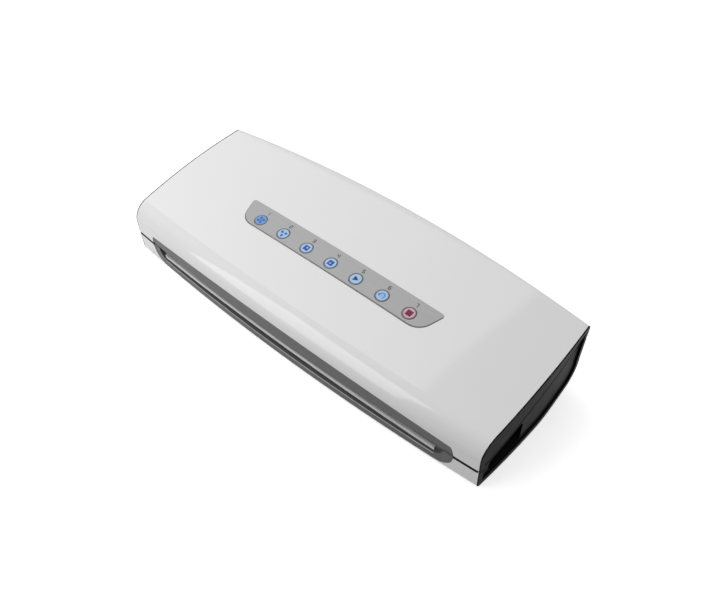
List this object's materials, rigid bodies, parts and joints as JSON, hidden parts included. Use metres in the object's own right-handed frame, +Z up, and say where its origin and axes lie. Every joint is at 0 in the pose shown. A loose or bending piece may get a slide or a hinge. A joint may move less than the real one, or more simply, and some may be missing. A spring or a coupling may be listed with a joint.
{
  "type": "vacuum_sealer",
  "caption": "White countertop vacuum sealer with a hinged lid, black ends, dark front trim and a row of round push buttons",
  "frame": {"origin": "on the table under the middle of the body", "axes": "X along the length with the finger pocket of the right end at +X, the bag mouth faces -Y, Z up"},
  "size_m": [0.385, 0.1503, 0.0728],
  "materials": {
    "white_gloss": "glossy moulded white",
    "black_plastic": "fine satin moulding",
    "grey_trim": "satin dark grey",
    "panel_silver": "silver-grey printed foil",
    "button_blue": "pale blue cap with a darker ring",
    "button_red": "pale red cap with a darker ring",
    "rubber_black": "soft matt",
    "silicone_red": "smooth silicone",
    "tape_brown": "woven non-stick tape",
    "tray_grey": "moulded",
    "steel": "plain",
    "copper": "enamelled winding",
    "board_green": "solder mask",
    "lamp_clear": "clear lens",
    "component_dark": "moulded cases"
  },
  "bodies": {
    "base": {"base_tub": "black_plastic", "base_fascia": "white_gloss", "lower_front_trim": "grey_trim", "slot_rail": "panel_silver", "deck_plate": "black_plastic", "drip_tray": "tray_grey", "lower_gasket": "rubber_black", "seal_bar": "tray_grey", "heating_strip": "steel", "cover_tape": "tape_brown", "release_spring_left": "steel", "release_spring_right": "steel", "hinge_pin_left": "steel", "hinge_pin_right": "steel", "pump_motor": "steel", "pump_bracket": "steel", "pump_head": "tray_grey", "vacuum_hose": "rubber_black", "release_valve": "steel", "vacuum_switch": "tray_grey", "transformer_core": "steel", "transformer_coil": "copper", "power_board": "board_green", "power_board_parts": "component_dark", "power_inlet": "black_plastic", "rubber_feet": "rubber_black", "deck_screws": "steel"},
    "lid": {"lid_shell": "white_gloss", "lid_end_cap_left": "black_plastic", "lid_end_cap_right": "black_plastic", "lid_inner_plate": "black_plastic", "upper_front_trim": "grey_trim", "upper_gasket": "rubber_black", "press_strip": "silicone_red", "lid_hook_left": "tray_grey", "lid_hook_right": "tray_grey", "control_panel": "panel_silver", "button_board": "board_green", "tact_switches": "black_plastic", "indicator_lamps": "lamp_clear", "board_screws": "steel", "lid_screws": "steel"},
    "button_1": {"button_1": "button_blue"},
    "button_2": {"button_2": "button_blue"},
    "button_3": {"button_3": "button_blue"},
    "button_4": {"button_4": "button_blue"},
    "button_5": {"button_5": "button_blue"},
    "button_6": {"button_6": "button_blue"},
    "button_7": {"button_7": "button_red"},
    "release_left": {"release_button_left": "black_plastic"},
    "release_right": {"release_button_right": "black_plastic"},
    "pump_rotor": {"pump_shaft": "steel"}
  },
  "joints": [
    {"name": "lid_hinge", "type": "hinge", "parent": "base", "child": "lid", "pos_m": [0, 0.07239, 0.056], "axis": [-1, 0, 0], "range_deg": [0, 70]},
    {"name": "button_1_press", "type": "slide", "parent": "lid", "child": "button_1", "axis": [0, 0.1454, -0.9894], "range_m": [0, 0.0008], "stiffness_N_per_m": 1500},
    {"name": "button_2_press", "type": "slide", "parent": "lid", "child": "button_2", "axis": [0, 0.1454, -0.9894], "range_m": [0, 0.0008], "stiffness_N_per_m": 1500},
    {"name": "button_3_press", "type": "slide", "parent": "lid", "child": "button_3", "axis": [0, 0.1454, -0.9894], "range_m": [0, 0.0008], "stiffness_N_per_m": 1500},
    {"name": "button_4_press", "type": "slide", "parent": "lid", "child": "button_4", "axis": [0, 0.1454, -0.9894], "range_m": [0, 0.0008], "stiffness_N_per_m": 1500},
    {"name": "button_5_press", "type": "slide", "parent": "lid", "child": "button_5", "axis": [0, 0.1454, -0.9894], "range_m": [0, 0.0008], "stiffness_N_per_m": 1500},
    {"name": "button_6_press", "type": "slide", "parent": "lid", "child": "button_6", "axis": [0, 0.1454, -0.9894], "range_m": [0, 0.0008], "stiffness_N_per_m": 1500},
    {"name": "button_7_press", "type": "slide", "parent": "lid", "child": "button_7", "axis": [0, 0.1454, -0.9894], "range_m": [0, 0.0008], "stiffness_N_per_m": 1500},
    {"name": "release_left_press", "type": "slide", "parent": "base", "child": "release_left", "axis": [1, 0, 0], "range_m": [0, 0.003], "stiffness_N_per_m": 1200, "deforming": ["release_spring_left"]},
    {"name": "release_right_press", "type": "slide", "parent": "base", "child": "release_right", "axis": [-1, 0, 0], "range_m": [0, 0.003], "stiffness_N_per_m": 1200, "deforming": ["release_spring_right"]},
    {"name": "pump_spin", "type": "hinge", "parent": "base", "child": "pump_rotor", "pos_m": [-0.06, 0.028, 0.025], "axis": [1, 0, 0], "continuous": true}
  ]
}
